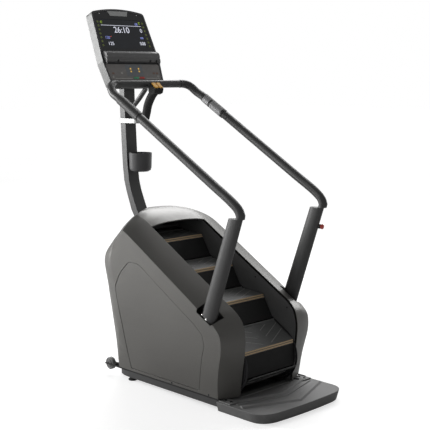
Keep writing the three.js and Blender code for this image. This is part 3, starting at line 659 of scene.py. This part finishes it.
def readings(name, material, rows):
    """Figures on the screen: rows of (text, middle x, middle y, height)."""
    meshes = []
    for text, x, y, height in rows:
        curve = bpy.data.curves.new(name, "FONT")
        curve.body = text
        curve.size = height * 1.4
        curve.extrude = GRAPHIC / 2
        curve.align_x = "CENTER"
        curve.align_y = "CENTER"
        figure = bpy.data.objects.new(name, curve)
        mesh = bpy.data.meshes.new_from_object(figure)
        mesh.transform(shifted(FACE, x, y, LIFT + GRAPHIC / 2))
        meshes.append(mesh)
        bpy.data.objects.remove(figure)

    def fill(bm):
        for mesh in meshes:
            bm.from_mesh(mesh)
        bmesh.ops.remove_doubles(bm, verts=bm.verts, dist=0.01 * MM)

    piece(name, material, "frame", fill)


def screen_graphics():
    """A rule across the top, figures below it and small marks in the corners."""
    line = 0.057

    def white(bm):
        path = [(-FACE_X + 2 * MM, line), (FACE_X - 2 * MM, line)]
        strip(bm, FACE, path, 2.5 * MM, LIFT, LIFT + GRAPHIC)

    piece("screen_line", WHITE_LIT, "frame", white)
    readings("screen_figures", WHITE_LIT, [
        ("26:10", -0.006, 0.026, 0.04), ("0", 0.15, 0.026, 0.026), ("125", -0.118, -0.066, 0.022),
        ("508", 0.133, -0.062, 0.022),
    ])
    readings("screen_small_figures", BLUE_LIT, [
        ("120", -0.134, -0.026, 0.018), ("180", 0.138, -0.024, 0.014), ("08", 0.125, line + 0.013, 0.016),
    ])

    def red_tick(bm):
        strip(bm, FACE, [(-0.114, -0.021), (-0.1, -0.016)], 3 * MM, LIFT, LIFT + GRAPHIC)

    piece("screen_red_mark", RED_LIT, "frame", red_tick)

    def green(bm):
        for x, y in ((-0.148, line + 0.02), (0.152, line + 0.022)):
            turns = (0.4, 1.6, 2.8, 4.0, 5.2)
            path = [(x + 8 * MM * math.cos(t), y + 7 * MM * math.sin(t)) for t in turns]
            strip(bm, FACE, path, 3 * MM, LIFT, LIFT + GRAPHIC)

    piece("screen_green_icons", GREEN_LIT, "frame", green)


def ring_icon(bm, place, x, y, radius, thick):
    """A small round outline, as on a touch key."""
    turns = [k * math.pi / 4 for k in range(9)]
    path = [(x + radius * math.cos(t), y + radius * math.sin(t)) for t in turns]
    strip(bm, place, path, thick, LIFT, LIFT + GRAPHIC)


def fascia_graphics():
    """Columns of touch keys beside the screen, with a plain badge and two sensors above it."""
    screen_middle = FASCIA.inverted() @ FACE.translation

    def icons(bm):
        for side in (-1, 1):
            for row in range(7):
                x = side * (0.177 + row * 1.2 * MM)
                y = screen_middle.y + 0.078 - row * 26 * MM
                ring_icon(bm, FASCIA, x, y, 6 * MM, 1.6 * MM)
                mark = rect(-2.2 * MM, 2.2 * MM, -1.8 * MM, 1.8 * MM)
                prism(bm, shifted(FASCIA, x, y), mark, LIFT, LIFT + GRAPHIC)

    piece("fascia_touch_keys", OLIVE_LIT, "frame", icons)

    def badge(bm):
        low, high = screen_middle.y + 0.121, screen_middle.y + 0.153
        plate = [(-0.066, low), (0.066, low), (0.081, high), (-0.081, high)]
        prism(bm, FASCIA, plate, LIFT, 2 * MM)

    piece("fascia_badge", SILVER, "frame", badge, edge=0.8 * MM)

    def dots(bm):
        for side in (-1, 1):
            spot = shifted(FASCIA, side * 0.147, screen_middle.y + 0.134)
            lathe(bm, spot, [(0, 0), (4 * MM, 0), (4 * MM, 0.8 * MM), (0, 1.2 * MM)], 16)

    piece("fascia_sensors", SILVER, "frame", dots, smooth=True)


def keypad_graphics():
    """Plain marks on the key panel, measured up from its lower edge."""
    low = -KEYPAD_Y

    def patch(bm):
        prism(bm, KEYPAD, rect(-0.066, 0.066, low + 0.024, low + 0.1), LIFT * 0.3, LIFT)

    piece("keypad_patch", KEY_PATCH, "frame", patch)

    def amber(bm):
        mark = rect(-4.5 * MM, 4.5 * MM, -5.5 * MM, 4 * MM)
        for x in (-0.028, 0.036):
            for y in (low + 0.056, low + 0.074):
                prism(bm, shifted(KEYPAD, x, y), mark, LIFT, LIFT + GRAPHIC)

    piece("keypad_amber_marks", AMBER_LIT, "frame", amber)

    def pale(bm):
        for x, y in ((-0.178, 0.02), (0.178, 0.022), (-0.104, 0.045)):
            ring_icon(bm, KEYPAD, x, low + y, 5 * MM, 2 * MM)
        for x0, x1 in ((-0.165, -0.03), (0.075, 0.185)):
            strip(bm, KEYPAD, [(x0, low + 0.009), (x1, low + 0.009)], 2 * MM, LIFT, LIFT + GRAPHIC)

    piece("keypad_pale_marks", KEY_MARK, "frame", pale)

    def dull(bm):
        mark = rect(-9 * MM, 9 * MM, -6 * MM, 6 * MM)
        for x in (-0.172, 0.15, 0.176):
            prism(bm, shifted(KEYPAD, x, low + 0.043), mark, LIFT, LIFT + GRAPHIC)

    piece("keypad_dull_marks", DULL_MARK, "frame", dull)


def tray_trim():
    """Silver crescents at the ends of the reading tray, and the dark pads along its lower edge."""
    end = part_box("reading_tray")[1].x + 0.6 * MM
    lip, _, lip_y = face_of("reading_tray", (0, -1, 0.3), 0.7)
    height = (FACE.inverted() @ lip.translation).y
    angles = [math.radians(a) for a in range(-75, 76, 15)]
    outer = [(0.026 * math.cos(t), 0.029 * math.sin(t)) for t in angles]
    inner = [(0.7 * u - 1 * MM, 0.96 * v) for u, v in reversed(outer)]

    def crescents(bm):
        for sign in SIDES.values():
            turn = Matrix(((0, 0, sign), (0, 1, 0), (1, 0, 0))).to_4x4()
            place = shifted(FACE, sign * end, height, 3 * MM) @ turn
            prism(bm, place, outer + inner, 0, 2.4 * MM)

    piece("tray_ends", HOUSING, "frame", crescents)

    def spots(bm):
        pad = [(0, 0), (7 * MM, 0), (7 * MM, 0.8 * MM), (0, 1.2 * MM)]
        for x in (-0.118, 0.138, 0.186):
            lathe(bm, shifted(lip, x, -lip_y * 0.8), pad, 16)

    piece("tray_pads", RUBBER, "frame", spots, smooth=True)


def console_back():
    """A raised cover with vent slots and four screws on the rear of the console."""
    rear, half_x, half_y = face_of("console_housing", (0, 1, 0))
    cover = shifted(rear, 0, -0.32 * half_y)
    half_width, half_height, thick = 0.66 * half_x, 0.42 * half_y, 2.5 * MM

    def plate(bm):
        prism(bm, cover, rect(-half_width, half_width, -half_height, half_height), -LIFT, thick)

    piece("console_cover", DARK, "frame", plate, edge=1.2 * MM)

    # The vent slots are flat near-black strips: painted shade for the hollows of the slots.
    def vents(bm):
        for row in range(7):
            y = (row - 3) * 9 * MM
            slot = rect(-0.6 * half_width, 0.6 * half_width, y - 1.6 * MM, y + 1.6 * MM)
            prism(bm, shifted(cover, 0, 0, thick), slot, -LIFT, 0.4 * MM)

    piece("console_vents", PAINTED_SHADE_AND_JOINT_BLACK, "frame", vents)

    def heads(bm):
        for x in (-0.9, 0.9):
            for y in (-0.86, 0.86):
                screw(bm, shifted(cover, x * half_width, y * half_height, thick), 4 * MM, 1.5 * MM)

    piece("console_screws", SCREW, "frame", heads, smooth=True)


screen_graphics()
fascia_graphics()
keypad_graphics()
tray_trim()
console_back()


# ---------------------------------------------------------------- pulse plates
def pulse_plates():
    """Bright contact plates on the inner side of each grip sleeve, with a gap in their middle."""
    for side, sign in SIDES.items():
        node = f"pulse_grip_{side}"
        end, radius, _ = face_of(node, (0, 1, 0.5))
        foot, _, _ = face_of(node, (0, -1, -0.5))
        length = (end.translation - foot.translation).length
        inner, outer = radius + LIFT, radius + 1.1 * MM

        def arc(bm, r, depth):
            angles = [math.radians(a) for a in range(-72, 73, 12)]
            points = [(-sign * r * math.cos(a), r * math.sin(a), -depth * length) for a in angles]
            return [bm.verts.new(end @ Vector(point)) for point in points]

        def plates(bm):
            for low, high in ((0.06, 0.34), (0.42, 0.94)):
                corners = ((inner, low), (outer, low), (outer, high), (inner, high))
                rings = [arc(bm, r, depth) for r, depth in corners]
                last = len(rings[0]) - 1
                for a, b in zip(rings, rings[1:] + rings[:1]):
                    for k in range(last):
                        bm.faces.new((a[k], a[k + 1], b[k + 1], b[k]))
                for k in (0, last):
                    bm.faces.new([ring[k] for ring in rings])

        piece(f"pulse_plates_{side}", PULSE, "frame", plates, edge=0.3 * MM, smooth=True)


pulse_plates()


# ---------------------------------------------------------------- emergency stop
def stop_button():
    """A mushroom head in place of the plain CAD disc."""
    low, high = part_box("e_stop_button")
    radius, depth = (high.x - low.x) / 2, high.y - low.y
    place = Matrix.Translation(((low.x + high.x) / 2, high.y, (low.z + high.z) / 2))
    place = place @ Matrix.Rotation(math.radians(90), 4, "X")
    profile = [(0, 0), (radius * 0.7, 0), (radius * 0.72, depth * 0.3), (radius * 0.97, depth * 0.36)]
    profile += [(radius * math.cos(t), depth * (0.5 + 0.5 * math.sin(t))) for t in (0.1, 0.45, 0.8, 1.15)]
    profile += [(0, depth)]
    head = piece(
        "e_stop_head", RED, "e_stop", lambda bm: lathe(bm, place, profile, 32), smooth=True
    )
    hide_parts("e_stop_button")


stop_button()


# ---------------------------------------------------------------- studio
AMBIENT = 0.27                          # white light from all round
FLOOR_GLOW = 0.62                       # lifts the floor to white for the camera alone
AREA_LIGHTS = [                         # name, place, size, power
    ("front left", (-2.9, 5.2, 2.1), 2.4, 320),
    ("left fill", (-5.6, 1.6, 1.3), 3.0, 62),
    ("right", (4.8, 0.2, 2.4), 2.4, 75),
]
KEY_PLACE = (3.1, 2.5, 3.7)
LIGHT_TARGET = Vector((0, 0, 0.7))
CAMERA_PLACE = (-3.920, -4.0916, 1.800)
CAMERA_LENS = 82.3
CAMERA_PITCH = math.radians(8.134)      # below the horizontal
CAMERA_AZIMUTH = math.radians(-44.513)


def backdrop():
    """White all round for the camera, and a weaker white for the light that falls on things."""
    world = bpy.data.worlds.new("studio")
    bpy.context.scene.world = world
    world.use_nodes = True
    nodes, links = world.node_tree.nodes, world.node_tree.links
    nodes["Background"].inputs["Strength"].default_value = AMBIENT
    white = nodes.new("ShaderNodeBackground")
    seen = nodes.new("ShaderNodeLightPath").outputs["Is Camera Ray"]
    choose = nodes.new("ShaderNodeMixShader")
    for background in (nodes["Background"], white):
        background.inputs["Color"].default_value = (1, 1, 1, 1)
    links.new(seen, choose.inputs[0])
    links.new(nodes["Background"].outputs[0], choose.inputs[1])
    links.new(white.outputs[0], choose.inputs[2])
    links.new(choose.outputs[0], nodes["World Output"].inputs["Surface"])


def pale_floor():
    bm = bmesh.new()
    bmesh.ops.create_grid(bm, x_segments=4, y_segments=4, size=40)
    mesh = bpy.data.meshes.new("floor")
    bm.to_mesh(mesh)
    bm.free()
    floor = bpy.data.objects.new("floor", mesh)
    floor.location.z = -0.5 * MM
    paint = Paint("floor", Roughness=0.9, Emission_Color=(1, 1, 1, 1))
    seen = paint.node("ShaderNodeLightPath").outputs["Is Camera Ray"]
    paint.set(
        Base_Color=paint.ramp(paint.noise(0.8, 3), [(0.3, (0.52,) * 3), (0.7, (0.56,) * 3)]),
        Emission_Strength=paint.span(seen, 0, FLOOR_GLOW),
    )
    mesh.materials.append(paint.material)
    bpy.context.scene.collection.objects.link(floor)


def add_light(name, data, place):
    light = bpy.data.objects.new(name, data)
    light.location = place
    light.rotation_euler = (LIGHT_TARGET - Vector(place)).to_track_quat("-Z", "Y").to_euler()
    bpy.context.scene.collection.objects.link(light)


def studio_lights():
    for name, place, size, power in AREA_LIGHTS:
        disk = bpy.data.lights.new(name, "AREA")
        disk.shape = "DISK"
        disk.size = size
        disk.energy = power
        add_light(name, disk, place)
    key = bpy.data.lights.new("soft key", "SUN")
    key.angle = math.radians(35)
    key.energy = 1.8
    add_light("soft key", key, KEY_PLACE)


def photo_camera():
    data = bpy.data.cameras.new("photo")
    data.sensor_width = 36
    data.lens = CAMERA_LENS
    camera = bpy.data.objects.new("photo", data)
    camera.location = CAMERA_PLACE
    camera.rotation_euler = (math.pi / 2 - CAMERA_PITCH, 0, CAMERA_AZIMUTH)
    bpy.context.scene.collection.objects.link(camera)
    bpy.context.scene.camera = camera


backdrop()
pale_floor()
studio_lights()
photo_camera()
bpy.context.scene.view_settings.view_transform = "Standard"
bpy.context.view_layer.update()
